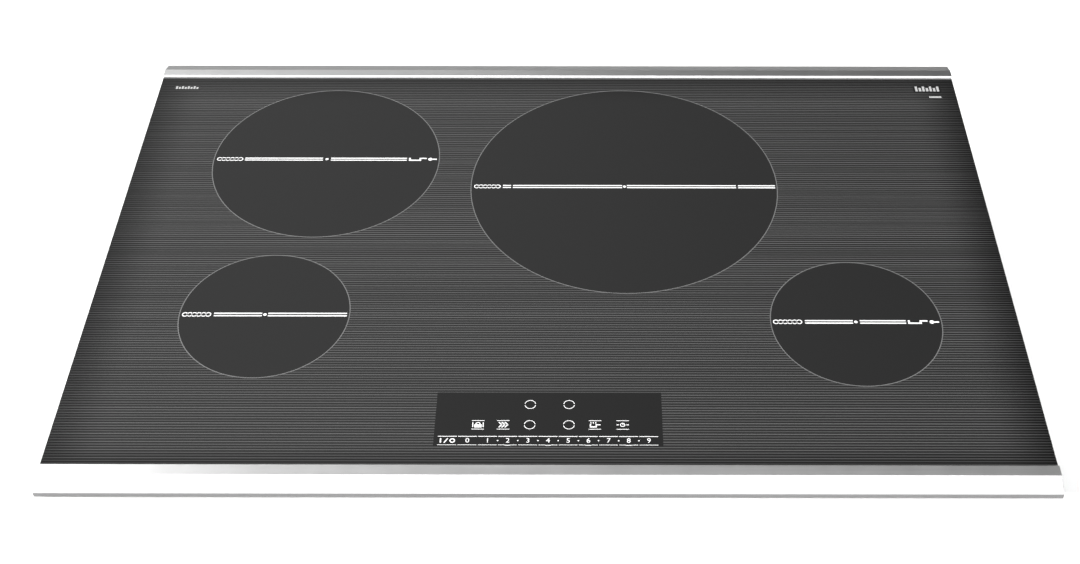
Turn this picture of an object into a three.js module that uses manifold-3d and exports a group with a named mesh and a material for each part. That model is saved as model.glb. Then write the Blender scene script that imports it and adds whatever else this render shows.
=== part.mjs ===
// Drop-in electric induction cooktop with four cooking zones, built as its real assembly.
// Millimetres, +Z up. The origin is the centre of the base pan's underside, +X is to the cook's
// right and +Y is to the rear. The worktop's upper face is at z = WORKTOP_Z.
import * as THREE from "three";
import { mergeVertices } from "three/addons/utils/BufferGeometryUtils.js";
import Module from "manifold-3d";

const wasm = await Module();
wasm.setup();

// ---------------------------------------------------------------- driving dimensions
const OVERALL_WIDTH = 781;
const OVERALL_DEPTH = 535;
const OVERALL_HEIGHT = 111;
const GLASS_DEPTH = 486.4;
const GLASS_THICKNESS = 4;
const TRIM_RISE = 2.2; // how far the steel trims stand above the glass
const WORKTOP_Z = OVERALL_HEIGHT - 10; // the trims' outer lips rest here
const PAN_WIDTH = 720;
const PAN_DEPTH = 480;
const PAN_CORNER = 8;
const SHEET = 1; // the pan's sheet steel
const GAP = 0.3; // between pieces that touch

// Cooking zones: centre, windings as [inner radius, outer radius], and number of ferrite bars.
const ZONES = [
  { name: "left_rear", x: -213.7, y: 117.7, windings: [[20, 96]], ferrites: 8 },
  { name: "right_rear", x: 63.1, y: 83.1, windings: [[20, 94], [103, 131]], ferrites: 10 },
  { name: "left_front", x: -241.8, y: -82.2, windings: [[18, 62]], ferrites: 6 },
  { name: "right_front", x: 254.4, y: -90.2, windings: [[18, 62]], ferrites: 6 },
];
const ROUND = 32; // sides of the large round pieces

// Heights of the stack from the glass down.
const GLASS_TOP = OVERALL_HEIGHT - TRIM_RISE;
const GLASS_UNDER = GLASS_TOP - GLASS_THICKNESS;
const MAT = 2.5; // ceramic-fibre mat between winding and glass
const WINDING = 3.5;
const FERRITE = 4.2;
const COIL_BASE = 1.5;
const MAT_Z = GLASS_UNDER - GAP - MAT;
const WINDING_Z = MAT_Z - GAP - WINDING;
const FERRITE_Z = WINDING_Z - GAP - FERRITE;
const COIL_BASE_Z = FERRITE_Z - GAP - COIL_BASE;
const COIL_PLATE_TOP = 78;
const STUD = { radius: 3, hole: 3.6, length: 20, inset: 14 }; // guide studs under each coil base
const STUD_ANGLES = [90, 210, 330];
const LEAD_HOLE = 9; // radius of the hole that a coil's leads pass down through
const FLOOR_Z = SHEET + GAP; // where inner pieces stand on the pan

// ---------------------------------------------------------------- materials
const finish = (color, roughness, metalness) =>
  new THREE.MeshStandardMaterial({ color, roughness, metalness });
const blackGlass = finish(0x141415, 0.06, 0);
const brushedSteel = finish(0xb9bbbd, 0.3, 1);
const zincSteel = finish(0x9ea3a6, 0.45, 1);
const springSteel = finish(0x7d8084, 0.35, 1);
const foam = finish(0x1d1d1e, 0.95, 0);
const aluminium = finish(0xc9cccf, 0.4, 1);
const copper = finish(0xa85b32, 0.4, 1);
const ferrite = finish(0x2c2c2e, 0.7, 0);
const fibreMat = finish(0xe6e3da, 0.95, 0);
const siliconeWhite = finish(0xe9e7e1, 0.6, 0);
const blackPlastic = finish(0x1a1a1b, 0.55, 0);
const boardGreen = finish(0x1c4a31, 0.5, 0);
const clearGuide = finish(0xd8dcdd, 0.35, 0);
const nylon = finish(0x26282a, 0.6, 0);
const screwSteel = finish(0xb0b2b4, 0.35, 1);

// ---------------------------------------------------------------- solids from three.js shapes
function solid(geometry) {
  const bare = geometry.index ? geometry.toNonIndexed() : geometry.clone();
  bare.deleteAttribute("normal");
  bare.deleteAttribute("uv");
  const merged = mergeVertices(bare, 1e-4);
  const vertProperties = merged.attributes.position.array;
  const triVerts = new Uint32Array(merged.index.array);
  return new wasm.Manifold(new wasm.Mesh({ numProp: 3, vertProperties, triVerts }));
}

function geometryOf(manifold) {
  const { vertProperties, triVerts } = manifold.getMesh();
  const geometry = new THREE.BufferGeometry();
  geometry.setAttribute("position", new THREE.BufferAttribute(vertProperties, 3));
  geometry.setIndex(new THREE.BufferAttribute(triVerts, 1));
  geometry.computeVertexNormals();
  return geometry;
}

const cut = (body, ...tools) => tools.flat().reduce((left, tool) => left.subtract(tool), body);
const join = (first, ...others) => others.flat().reduce((sum, next) => sum.add(next), first);

// A block centred on x and y that stands on z.
function block(width, depth, height, x = 0, y = 0, z = 0) {
  return solid(new THREE.BoxGeometry(width, depth, height).translate(x, y, z + height / 2));
}

// A round bar along Z that stands on z.
function bar(radius, height, x = 0, y = 0, z = 0, sides = 16) {
  const geometry = new THREE.CylinderGeometry(radius, radius, height, sides);
  return solid(geometry.rotateX(Math.PI / 2).translate(x, y, z + height / 2));
}

// A profile of [radius, height] points, turned about Z. It runs outwards along its underside first.
function turned(profile, sides = ROUND) {
  const points = profile.map(([radius, height]) => new THREE.Vector2(radius, height));
  return solid(new THREE.LatheGeometry(points, sides).rotateX(Math.PI / 2));
}

function ring(inner, outer, height, z, sides = ROUND) {
  return turned(
    [[inner, z], [outer, z], [outer, z + height], [inner, z + height], [inner, z]],
    sides,
  );
}

const outline = (points) => new THREE.Shape(points.map(([x, y]) => new THREE.Vector2(x, y)));

function extruded(shape, length, curveSegments = 4) {
  return new THREE.ExtrudeGeometry(shape, { depth: length, bevelEnabled: false, curveSegments });
}

// A flat shape in X and Y, given thickness from z up.
const sheet = (shape, thickness, z) => solid(extruded(shape, thickness).translate(0, 0, z));

// A section given as [y, z] points, running along X and centred on it.
function alongX(points, length) {
  const turn = new THREE.Matrix4().makeBasis(
    new THREE.Vector3(0, 1, 0),
    new THREE.Vector3(0, 0, 1),
    new THREE.Vector3(1, 0, 0),
  );
  return solid(extruded(outline(points), length).translate(0, 0, -length / 2).applyMatrix4(turn));
}

// A section given as [x, z] points, running along Y and centred on it.
function alongY(points, length) {
  const geometry = extruded(outline(points), length).translate(0, 0, -length / 2);
  return solid(geometry.rotateX(Math.PI / 2));
}

function roundedRectangle(width, depth, radius) {
  const [x, y] = [width / 2 - radius, depth / 2 - radius];
  const shape = new THREE.Shape();
  shape.absarc(x, y, radius, 0, Math.PI / 2);
  shape.absarc(-x, y, radius, Math.PI / 2, Math.PI);
  shape.absarc(-x, -y, radius, Math.PI, 1.5 * Math.PI);
  shape.absarc(x, -y, radius, 1.5 * Math.PI, 2 * Math.PI);
  return shape;
}

// The closed outline of a bent strip of one thickness, from the line along its middle.
function strip(middle, thickness) {
  const normals = middle.map((point, i) => {
    const before = middle[Math.max(i - 1, 0)];
    const after = middle[Math.min(i + 1, middle.length - 1)];
    const along = new THREE.Vector2(after[0] - before[0], after[1] - before[1]).normalize();
    return [-along.y, along.x];
  });
  const side = (sign) =>
    middle.map(([x, z], i) => [
      x + (sign * normals[i][0] * thickness) / 2,
      z + (sign * normals[i][1] * thickness) / 2,
    ]);
  return [...side(-1), ...side(1).reverse()];
}

const turnedHalf = (manifold) => manifold.rotate([0, 0, 180]);

const cooktop = new THREE.Group();

function piece(name, manifold, material, parent = cooktop) {
  const mesh = new THREE.Mesh(geometryOf(manifold), material);
  mesh.name = name;
  parent.add(mesh);
  return mesh;
}

// ---------------------------------------------------------------- glass, trims and seal
piece(
  "glass_panel",
  block(OVERALL_WIDTH, GLASS_DEPTH, GLASS_THICKNESS, 0, 0, GLASS_UNDER),
  blackGlass,
);

// Folded steel section, as [distance beyond the glass edge, height]: a level top beside the glass,
// a long fall, an upright outer lip, and a shelf under the glass that it is bonded to.
const TRIM = {
  reach: (OVERALL_DEPTH - GLASS_DEPTH) / 2,
  level: 10.3,
  fallEndZ: GLASS_TOP - 3.1,
  wall: 1.2,
  shelf: 10,
  shelfTop: GLASS_UNDER - GAP,
  shelfThickness: 0.8,
};

function trimSection() {
  const { reach, level, fallEndZ, wall, shelf, shelfTop, shelfThickness } = TRIM;
  const inner = GAP + wall;
  const shelfUnder = shelfTop - shelfThickness;
  return [
    [GAP, OVERALL_HEIGHT],
    [level, OVERALL_HEIGHT],
    [reach, fallEndZ],
    [reach, WORKTOP_Z],
    [reach - wall, WORKTOP_Z],
    [reach - wall, fallEndZ - 0.8 * wall],
    [level - 0.2 * wall, OVERALL_HEIGHT - wall],
    [inner, OVERALL_HEIGHT - wall],
    [inner, shelfUnder],
    [-shelf, shelfUnder],
    [-shelf, shelfTop],
    [GAP, shelfTop],
  ];
}

const frontSection = trimSection().map(([out, z]) => [-GLASS_DEPTH / 2 - out, z]);
const frontTrim = alongX(frontSection, OVERALL_WIDTH);
piece("front_trim", frontTrim, brushedSteel);
piece("rear_trim", turnedHalf(frontTrim), brushedSteel);

// Foam ring that beds the rim on the worktop, thicker at the sides, where no trim lies over it.
const SEAL = { under: WORKTOP_Z - 0.4, width: 9, inset: 3, endInset: 17, step: 0.4 };

function worktopSeal() {
  const { under, width, inset, endInset, step } = SEAL;
  const [wide, deep] = [OVERALL_WIDTH - 2 * inset, OVERALL_DEPTH - 2 * endInset];
  const endHeight = TRIM.shelfTop - TRIM.shelfThickness - GAP - under;
  const sideHeight = GLASS_UNDER - GAP - under - step;
  const shelfEdge = GLASS_DEPTH / 2 - TRIM.shelf - GAP;
  const rim = block(wide, deep, endHeight, 0, 0, under);
  const inside = block(wide - 2 * width, deep - 2 * width, 2 * endHeight, 0, 0, under - step);
  const sides = [-1, 1].map((side) => {
    const x = (side * (wide - width)) / 2;
    return block(width - 2 * step, 2 * shelfEdge, sideHeight, x, 0, under + step);
  });
  return join(cut(rim, inside), sides);
}
piece("countertop_seal", worktopSeal(), foam);

// ---------------------------------------------------------------- base pan and what fixes to it
const PAN_TOP = TRIM.shelfTop - TRIM.shelfThickness - GAP;
const BLOWERS = [
  { name: "left", x: -222, y: -92 },
  { name: "right", x: 222, y: -92 },
];
const INLET = { radius: 38, slot: 3.6, pitch: 7.6 };
const EXHAUST = { slots: 13, slot: 3.6, pitch: 11, height: 42, z: 14, left: -205, right: 235 };
const CLIP = { y: 150, width: 24, hookZ: 28, kneeZ: 62, tipZ: 76, knee: 6.6, thickness: 0.8 };
const CLIP_HOLES = [
  { z: CLIP.hookZ - 2.5, height: 6 },
  { z: CLIP.kneeZ - 3, height: 24 },
];
const JUNCTION = { x: 120, z: 32, width: 96, height: 48, opening: [80, 34] };
const GLAND = { x: 142, bore: 8, thread: 11, flange: 15, hole: 11.6 };
const CASE_SCREW = { y: 85, z: 95, shank: 1.9, length: 8, head: 4, headHeight: 2.4, hole: 2.4 };

// Parallel slots that fill a round inlet in the pan's floor.
function inletSlots(x, y) {
  const rows = Math.floor(INLET.radius / INLET.pitch);
  const slots = [];
  for (let row = -rows; row <= rows; row += 1) {
    const across = row * INLET.pitch;
    const length = 2 * Math.sqrt(INLET.radius ** 2 - across ** 2);
    slots.push(block(length, INLET.slot, 4 * SHEET, x, y + across, -SHEET));
  }
  return slots;
}

// Upright slots in the rear wall, behind one heatsink.
function exhaustSlots(centre) {
  const { slots, slot, pitch, height, z } = EXHAUST;
  return Array.from({ length: slots }, (_, i) => {
    const x = centre + (i - (slots - 1) / 2) * pitch;
    return block(slot, 4 * SHEET, height, x, PAN_DEPTH / 2, z);
  });
}

function sideHoles() {
  const holes = [];
  for (const side of [-1, 1]) {
    const wall = (side * PAN_WIDTH) / 2;
    for (const end of [-1, 1]) {
      for (const { z, height } of CLIP_HOLES)
        holes.push(block(4 * SHEET, CLIP.width + 3, height, wall, end * CLIP.y, z));
      const drill = bar(CASE_SCREW.hole, 6, 0, 0, -3, 12).rotate([0, 90, 0]);
      holes.push(drill.translate([wall, end * CASE_SCREW.y, CASE_SCREW.z]));
    }
  }
  return holes;
}

function basePan() {
  const outer = sheet(roundedRectangle(PAN_WIDTH, PAN_DEPTH, PAN_CORNER), PAN_TOP, 0);
  const inside = roundedRectangle(PAN_WIDTH - 2 * SHEET, PAN_DEPTH - 2 * SHEET, PAN_CORNER - SHEET);
  const [wide, high] = JUNCTION.opening;
  const junction = block(wide, 4 * SHEET, high, JUNCTION.x, PAN_DEPTH / 2, JUNCTION.z - high / 2);
  return cut(
    outer,
    sheet(inside, PAN_TOP, SHEET),
    ...BLOWERS.map(({ x, y }) => inletSlots(x, y)),
    exhaustSlots(EXHAUST.left),
    exhaustSlots(EXHAUST.right),
    sideHoles(),
    junction,
  );
}
piece("base_pan", basePan(), zincSteel);

// Angle rails bonded under the glass; the pan's walls are screwed to their hanging legs.
const RAIL = { leg: 14, flange: 14, wall: 1.2, endGap: 16 };

function railSection(wallFace) {
  const out = wallFace - SHEET - GAP;
  const top = GLASS_UNDER - GAP;
  return [
    [out, top - RAIL.leg],
    [out, top],
    [out - RAIL.flange, top],
    [out - RAIL.flange, top - RAIL.wall],
    [out - RAIL.wall, top - RAIL.wall],
    [out - RAIL.wall, top - RAIL.leg],
  ];
}

function sideRail() {
  const rail = alongY(railSection(PAN_WIDTH / 2), PAN_DEPTH - 2 * RAIL.endGap);
  const drill = bar(CASE_SCREW.hole, 8, 0, 0, -4, 12).rotate([0, 90, 0]);
  const wall = PAN_WIDTH / 2 - SHEET - GAP;
  const holes = [-1, 1].map((end) =>
    drill.translate([wall, end * CASE_SCREW.y, CASE_SCREW.z]),
  );
  return cut(rail, holes);
}

const rightRail = sideRail();
piece("right_rail", rightRail, zincSteel);
piece("left_rail", turnedHalf(rightRail), zincSteel);

// Screws that hold the pan to the side rails, and spring clips that lock under the worktop.
function caseScrew() {
  const { shank, length, head, headHeight } = CASE_SCREW;
  const profile = [
    [0, -length], [shank, 1 - length], [shank, GAP],
    [head, GAP], [head, headHeight - 1], [0.65 * head, headHeight], [0, headHeight],
  ];
  return turned(profile, 12).rotate([0, 90, 0]);
}

function springClip() {
  const { hookZ, kneeZ, tipZ, knee, width, thickness } = CLIP;
  const middle = [
    [-2.6, hookZ - 6],
    [-2.6, hookZ - 0.5],
    [-1.8, hookZ + 0.4],
    [0.9, hookZ + 0.6],
    [1.9, hookZ + 2.2],
    [knee - 0.8, kneeZ - 3],
    [knee, kneeZ],
    [knee - 0.9, kneeZ + 3],
    [2.4, tipZ],
  ];
  return alongY(strip(middle, thickness), width);
}

for (const side of [-1, 1])
  for (const end of [-1, 1]) {
    const corner = new THREE.Group();
    const name = `${side < 0 ? "left" : "right"}_${end < 0 ? "front" : "rear"}`;
    corner.position.set((side * PAN_WIDTH) / 2, 0, 0);
    corner.rotation.z = side < 0 ? Math.PI : 0;
    cooktop.add(corner);
    const screw = piece(`${name}_case_screw`, caseScrew(), screwSteel, corner);
    screw.position.set(0, side * end * CASE_SCREW.y, CASE_SCREW.z);
    const clip = piece(`${name}_spring_clip`, springClip(), springSteel, corner);
    clip.position.set(0, side * end * CLIP.y, 0);
  }

// ---------------------------------------------------------------- coil plate and the coil units
// Folded aluminium table that carries the coils and screens the electronics below it.
const TABLE = { left: -352, right: 352, front: -160, rear: 236, wall: 1.5 };

// Where a coil base's guide studs stand, from the middle of its zone.
function studPlaces(windings) {
  const reach = windings.at(-1)[1] - STUD.inset;
  return STUD_ANGLES.map((degrees) => {
    const angle = THREE.MathUtils.degToRad(degrees);
    return [reach * Math.cos(angle), reach * Math.sin(angle)];
  });
}

function coilPlate() {
  const { front, rear, wall } = TABLE;
  const top = COIL_PLATE_TOP;
  const section = [
    [front, FLOOR_Z],
    [front + wall, FLOOR_Z],
    [front + wall, top - wall],
    [rear - wall, top - wall],
    [rear - wall, FLOOR_Z],
    [rear, FLOOR_Z],
    [rear, top],
    [front, top],
  ];
  const airWindows = [EXHAUST.left, EXHAUST.right].map((x) => block(170, 8, 50, x, rear, 10));
  const cableWindow = block(110, 8, 44, JUNCTION.x, rear, 10);
  const holes = ZONES.flatMap(({ x, y, windings }) => [
    bar(LEAD_HOLE, 6, x, y, top - 4, 16),
    ...studPlaces(windings).map(([along, back]) =>
      bar(STUD.hole, 6, x + along, y + back, top - 4, 10),
    ),
  ]);
  const plate = alongX(section, TABLE.right - TABLE.left);
  return cut(plate, airWindows, cableWindow, holes);
}
piece("coil_plate", coilPlate(), aluminium);

const SENSOR = { body: 8, neck: 6, collar: 10.5, collarHeight: 1.5 };
const FERRITE_BAR = { width: 12, ring: 18 };

function coilBase(windings) {
  const disc = ring(LEAD_HOLE, windings.at(-1)[1] + 3, COIL_BASE, COIL_BASE_Z);
  const studs = studPlaces(windings).map(([x, y]) =>
    bar(STUD.radius, STUD.length + COIL_BASE / 2, x, y, COIL_BASE_Z - STUD.length, 10),
  );
  return join(disc, studs);
}

// Open-ended wire spring that presses the coil unit up against the glass.
const SPRING = { radius: 15, wire: 0.9, turns: 3.5, steps: 35, sides: 5 };

class Helix extends THREE.Curve {
  getPoint(share, target = new THREE.Vector3()) {
    const angle = 2 * Math.PI * SPRING.turns * share;
    const low = COIL_PLATE_TOP + GAP + SPRING.wire + 0.1;
    const high = COIL_BASE_Z - GAP - SPRING.wire - 0.1;
    return target.set(
      SPRING.radius * Math.cos(angle),
      SPRING.radius * Math.sin(angle),
      low + (high - low) * share,
    );
  }
}

function coilSpring() {
  const { wire, steps, sides } = SPRING;
  const section = new THREE.Shape(
    Array.from({ length: sides }, (_, i) => {
      const angle = (2 * Math.PI * i) / sides;
      return new THREE.Vector2(wire * Math.cos(angle), wire * Math.sin(angle));
    }),
  );
  return solid(new THREE.ExtrudeGeometry(section, { steps, extrudePath: new Helix() }));
}

// Radial ferrite bars on one inner ring.
function ferriteStar(count, radius) {
  const { width, ring: ringRadius } = FERRITE_BAR;
  const hub = ring(12, ringRadius, FERRITE, FERRITE_Z, 20);
  const reach = radius - ringRadius + 3;
  const arms = Array.from({ length: count }, (_, i) => {
    const arm = block(reach, width, FERRITE, ringRadius - 3 + reach / 2, 0, FERRITE_Z);
    return arm.rotate([0, 0, ((i + 0.5) * 360) / count]);
  });
  return join(hub, arms);
}

function temperatureSensor() {
  const top = GLASS_UNDER - GAP;
  const { body, neck, collar, collarHeight } = SENSOR;
  const profile = [
    [0, FERRITE_Z], [collar, FERRITE_Z], [collar, FERRITE_Z + collarHeight],
    [neck, FERRITE_Z + collarHeight], [neck, top - 3], [body, top - 2], [body, top], [0, top],
  ];
  return turned(profile, 16);
}

for (const { name, x, y, windings, ferrites } of ZONES) {
  const unit = new THREE.Group();
  unit.position.set(x, y, 0);
  cooktop.add(unit);
  const outer = windings.at(-1)[1];
  piece(`${name}_coil_base`, coilBase(windings), aluminium, unit);
  piece(`${name}_spring`, coilSpring(), springSteel, unit);
  piece(`${name}_ferrites`, ferriteStar(ferrites, outer - 1), ferrite, unit);
  windings.forEach(([inner, edge], i) => {
    const label = i === 0 ? "winding" : "outer_winding";
    piece(`${name}_${label}`, ring(inner, edge, WINDING, WINDING_Z), copper, unit);
  });
  piece(`${name}_mat`, ring(SENSOR.body + 1.5, outer + 2, MAT, MAT_Z), fibreMat, unit);
  piece(`${name}_sensor`, temperatureSensor(), siliconeWhite, unit);
}

// ---------------------------------------------------------------- blowers
// Each blower draws air up through the pan's floor and drives it rearwards over a heatsink.
const SCROLL = { small: 48, large: 64, tongue: 60, mouth: 62, wall: 2, top: 37 };
const IMPELLER = { radius: 44, inner: 34, blades: 16, rimZ: 6, plateZ: 25, hub: 19, hubZ: 11, skin: 2 };
const MOTOR = { boss: 13.5, bossLength: 20, shaft: 2.5, shaftLength: 12, shaftZ: 7, bore: 3 };

// The scroll's outline, from its tongue round to its mouth, moved in by an inset.
function scrollOutline(inset, mouth) {
  const { small, large, tongue } = SCROLL;
  const steps = 18;
  const points = Array.from({ length: steps + 1 }, (_, i) => {
    const share = i / steps;
    const angle = THREE.MathUtils.degToRad(tongue + (360 - tongue) * share);
    const radius = small + (large - small) * share - inset;
    return [radius * Math.cos(angle), radius * Math.sin(angle)];
  });
  const throat = small * Math.cos(THREE.MathUtils.degToRad(tongue)) + inset;
  return [[throat, mouth], [throat, points[0][1]], ...points, [large - inset, mouth]];
}

function blowerHousing() {
  const { wall, top, mouth } = SCROLL;
  const shell = sheet(outline(scrollOutline(0, mouth)), top - FLOOR_Z, FLOOR_Z);
  const air = sheet(outline(scrollOutline(wall, mouth + 4)), top, FLOOR_Z + wall);
  return cut(shell, air, bar(INLET.radius - 1, 10, 0, 0, -2, 24));
}

// Lid with the motor's stator boss and the shaft that the impeller turns on.
function blowerLid() {
  const { top, wall, mouth } = SCROLL;
  const lid = sheet(outline(scrollOutline(0, mouth)), wall, top + GAP);
  const boss = bar(MOTOR.boss, MOTOR.bossLength, 0, 0, top + GAP + 1 - MOTOR.bossLength, 16);
  return join(lid, boss, bar(MOTOR.shaft, MOTOR.shaftLength, 0, 0, MOTOR.shaftZ, 10));
}

function impeller() {
  const { radius, inner, blades, rimZ, plateZ, hub, hubZ, skin } = IMPELLER;
  const { bore } = MOTOR;
  const plateTop = plateZ + 1.5;
  const cup = hub - 2.5;
  const shell = turned(
    [
      [bore, hubZ], [hub, hubZ], [hub, plateZ], [radius, plateZ], [radius, plateTop],
      [cup, plateTop], [cup, hubZ + skin], [bore, hubZ + skin], [bore, hubZ],
    ],
    24,
  );
  const rim = ring(radius - 4, radius, 1.5, rimZ, 24);
  const bladeZ = rimZ + 0.6;
  const blade = block(radius - inner - 1.5, 1.4, plateZ + 0.4 - bladeZ, (radius + inner) / 2, 0, bladeZ);
  const vanes = Array.from({ length: blades }, (_, i) =>
    blade.rotate([0, 0, (i * 360) / blades]),
  );
  return join(shell, rim, vanes);
}

for (const { name, x, y } of BLOWERS) {
  const blower = new THREE.Group();
  blower.position.set(x, y, 0);
  cooktop.add(blower);
  piece(`${name}_blower_housing`, blowerHousing(), blackPlastic, blower);
  piece(`${name}_blower_lid`, blowerLid(), blackPlastic, blower);
  piece(`${name}_impeller`, impeller(), blackPlastic, blower);
}

// ---------------------------------------------------------------- power electronics
const BOARD = { width: 226, depth: 178, thickness: 1.6, y: 68, trayHeight: 7, trayEdge: 4, ledge: 3 };
const HEATSINK = { width: 50, length: 128, base: 6, fin: 1.6, fins: 8, height: 30 };

function boardTray() {
  const { width, depth, trayHeight, trayEdge, ledge } = BOARD;
  const tray = block(width + 2 * trayEdge, depth + 2 * trayEdge, trayHeight, 0, 0, FLOOR_Z);
  const hollow = block(width - 2 * ledge, depth - 2 * ledge, trayHeight, 0, 0, FLOOR_Z + 2);
  return cut(tray, hollow);
}

function heatsink() {
  const { width, length, base, fin, fins, height } = HEATSINK;
  const pitch = (width - fin) / (fins - 1);
  const comb = [[-width / 2, 0], [width / 2, 0]];
  for (let i = fins - 1; i >= 0; i -= 1) {
    const left = -width / 2 + i * pitch;
    comb.push([left + fin, height], [left, height]);
    if (i > 0) comb.push([left, base], [left - pitch + fin, base]);
  }
  return alongY(comb, length);
}

for (const { name, x } of BLOWERS) {
  const power = new THREE.Group();
  power.position.set(x, BOARD.y, 0);
  cooktop.add(power);
  const boardZ = FLOOR_Z + BOARD.trayHeight + GAP;
  piece(`${name}_board_tray`, boardTray(), blackPlastic, power);
  piece(
    `${name}_power_board`,
    block(BOARD.width, BOARD.depth, BOARD.thickness, 0, 0, boardZ),
    boardGreen,
    power,
  );
  const sink = piece(`${name}_heatsink`, heatsink(), aluminium, power);
  const mouthMiddle = (SCROLL.large + SCROLL.small * 0.5) / 2;
  sink.position.set(mouthMiddle, 0, boardZ + BOARD.thickness + GAP);
}

// Mains filter at the rear, beside the junction cover: a board and the terminal block.
const FILTER = { x: 20, y: 186, width: 144, depth: 84, z: FLOOR_Z };
const TERMINALS = { x: 42, y: 6, width: 46, depth: 20, height: 20, pitch: 11, well: 3.6, wireWay: 6 };

function terminalBlock() {
  const z = FILTER.z + BOARD.thickness + GAP;
  const { x, y, width, depth, height, pitch, well, wireWay } = TERMINALS;
  const body = block(width, depth, height, x, y, z);
  const ways = [-1.5, -0.5, 0.5, 1.5].map((n) => x + n * pitch);
  const wells = ways.map((way) => bar(well, height, way, y + 4, z + height / 2, 10));
  const wireWays = ways.map((way) => block(wireWay, 12, wireWay, way, y + depth / 2, z + 3));
  return cut(body, wells, wireWays);
}

const filter = new THREE.Group();
filter.position.set(FILTER.x, FILTER.y, 0);
cooktop.add(filter);
const filterBoard = block(FILTER.width, FILTER.depth, BOARD.thickness, 0, 0, FILTER.z);
piece("filter_board", filterBoard, boardGreen, filter);
piece("terminal_block", terminalBlock(), nylon, filter);

// Junction cover on the rear wall, with the gland that the mains cable comes in through.
function junctionCover() {
  const z = JUNCTION.z - JUNCTION.height / 2;
  const y = PAN_DEPTH / 2 + GAP + SHEET / 2;
  const cover = block(JUNCTION.width, SHEET, JUNCTION.height, JUNCTION.x, y, z);
  const hole = bar(GLAND.hole, 6, 0, 0, -3, 20).rotate([90, 0, 0]);
  return cut(cover, hole.translate([GLAND.x, y, JUNCTION.z]));
}
piece("junction_cover", junctionCover(), zincSteel);

function cableGland() {
  const { bore, thread, flange } = GLAND;
  return turned(
    [
      [bore, -16], [thread, -16], [thread, GAP], [flange, GAP],
      [flange, 3], [bore + 3, 6], [bore, 6], [bore, -16],
    ],
    20,
  );
}

const gland = piece("cable_gland", cableGland().rotate([-90, 0, 0]), nylon);
gland.position.set(GLAND.x, PAN_DEPTH / 2 + GAP + SHEET, JUNCTION.z);

// ---------------------------------------------------------------- touch control under the glass
const CONTROL = { y: -196.6, width: 204, depth: 62, wall: 1.8, floorZ: 86, boardZ: 95.5 };
const CONTROL_BOARD = { width: 196, depth: 54 };
const GUIDE = {
  width: 182, depth: 50, rings: [-15.5, 15.5], ringRows: [15.3, -5.7], ringRadius: 5,
  bars: 11, barRow: -21, barDepth: 4, barGap: 5,
};
const POST = { x: 94, y: 22, width: 6 }; // the board's posts in the frame
const LEG = { x: 80, width: 12 }; // the frame's legs on the pan

function controlFrame() {
  const { width, depth, wall, floorZ, boardZ } = CONTROL;
  const top = GLASS_UNDER - GAP;
  const tray = block(width, depth, top - floorZ, 0, 0, floorZ);
  const inside = block(width - 2 * wall, depth - 2 * wall, top, 0, 0, floorZ + wall);
  const legHeight = floorZ - FLOOR_Z + 1;
  const legs = [-1, 1].map((side) =>
    block(LEG.width, LEG.width, legHeight, side * LEG.x, 0, FLOOR_Z),
  );
  const posts = [-1, 1].flatMap((side) =>
    [-1, 1].map((end) =>
      block(POST.width, POST.width, boardZ - GAP - floorZ, side * POST.x, end * POST.y, floorZ),
    ),
  );
  return join(cut(tray, inside), legs, posts);
}

// Clear block that spreads the light of the indicator rings and of the power scale.
function lightGuide() {
  const z = CONTROL.boardZ + BOARD.thickness + GAP;
  const height = GLASS_UNDER - GAP - z;
  const body = block(GUIDE.width, GUIDE.depth, height, 0, 0, z);
  const rings = GUIDE.rings.flatMap((x) =>
    GUIDE.ringRows.map((y) => bar(GUIDE.ringRadius, height + 4, x, y, z - 2, 12)),
  );
  const pitch = GUIDE.width / GUIDE.bars;
  const bars = Array.from({ length: GUIDE.bars }, (_, i) => {
    const x = (i - (GUIDE.bars - 1) / 2) * pitch;
    return block(pitch - GUIDE.barGap, GUIDE.barDepth, height + 4, x, GUIDE.barRow, z - 2);
  });
  return cut(body, rings, bars);
}

const control = new THREE.Group();
control.position.set(0, CONTROL.y, 0);
cooktop.add(control);
piece("control_frame", controlFrame(), blackPlastic, control);
const touchBoard = block(
  CONTROL_BOARD.width, CONTROL_BOARD.depth, BOARD.thickness, 0, 0, CONTROL.boardZ,
);
piece("control_board", touchBoard, boardGreen, control);
piece("display_light_guide", lightGuide(), clearGuide, control);

export default cooktop;
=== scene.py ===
# Built-in induction cooktop: black ceramic glass between two steel trims over a shallow steel pan.
import math

import bmesh
import bpy
from mathutils import Matrix, Vector


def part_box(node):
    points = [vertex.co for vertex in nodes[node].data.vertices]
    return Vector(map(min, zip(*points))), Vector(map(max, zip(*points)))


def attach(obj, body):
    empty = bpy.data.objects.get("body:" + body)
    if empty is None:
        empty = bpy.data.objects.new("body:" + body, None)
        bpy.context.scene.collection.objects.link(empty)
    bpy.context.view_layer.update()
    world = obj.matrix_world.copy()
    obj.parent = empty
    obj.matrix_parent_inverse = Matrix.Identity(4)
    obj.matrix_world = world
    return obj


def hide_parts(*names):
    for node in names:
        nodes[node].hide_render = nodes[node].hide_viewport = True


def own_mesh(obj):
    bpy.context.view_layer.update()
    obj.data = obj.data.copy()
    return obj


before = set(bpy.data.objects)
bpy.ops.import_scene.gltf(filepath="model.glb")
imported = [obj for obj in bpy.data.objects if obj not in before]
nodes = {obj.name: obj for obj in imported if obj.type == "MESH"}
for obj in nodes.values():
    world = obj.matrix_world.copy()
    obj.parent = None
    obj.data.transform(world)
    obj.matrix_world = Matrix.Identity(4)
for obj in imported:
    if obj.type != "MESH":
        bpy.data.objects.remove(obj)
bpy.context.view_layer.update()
MM = 0.001

# ------------------------------------------------------------------------------------------------
# Camera. It looks down on the cooktop from in front of it, a little to the right of its middle,
# and a small shift keeps the cooktop in the middle of the picture.
# ------------------------------------------------------------------------------------------------
glass_low, glass_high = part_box("glass_panel")
glass_width = glass_high.x - glass_low.x

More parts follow.
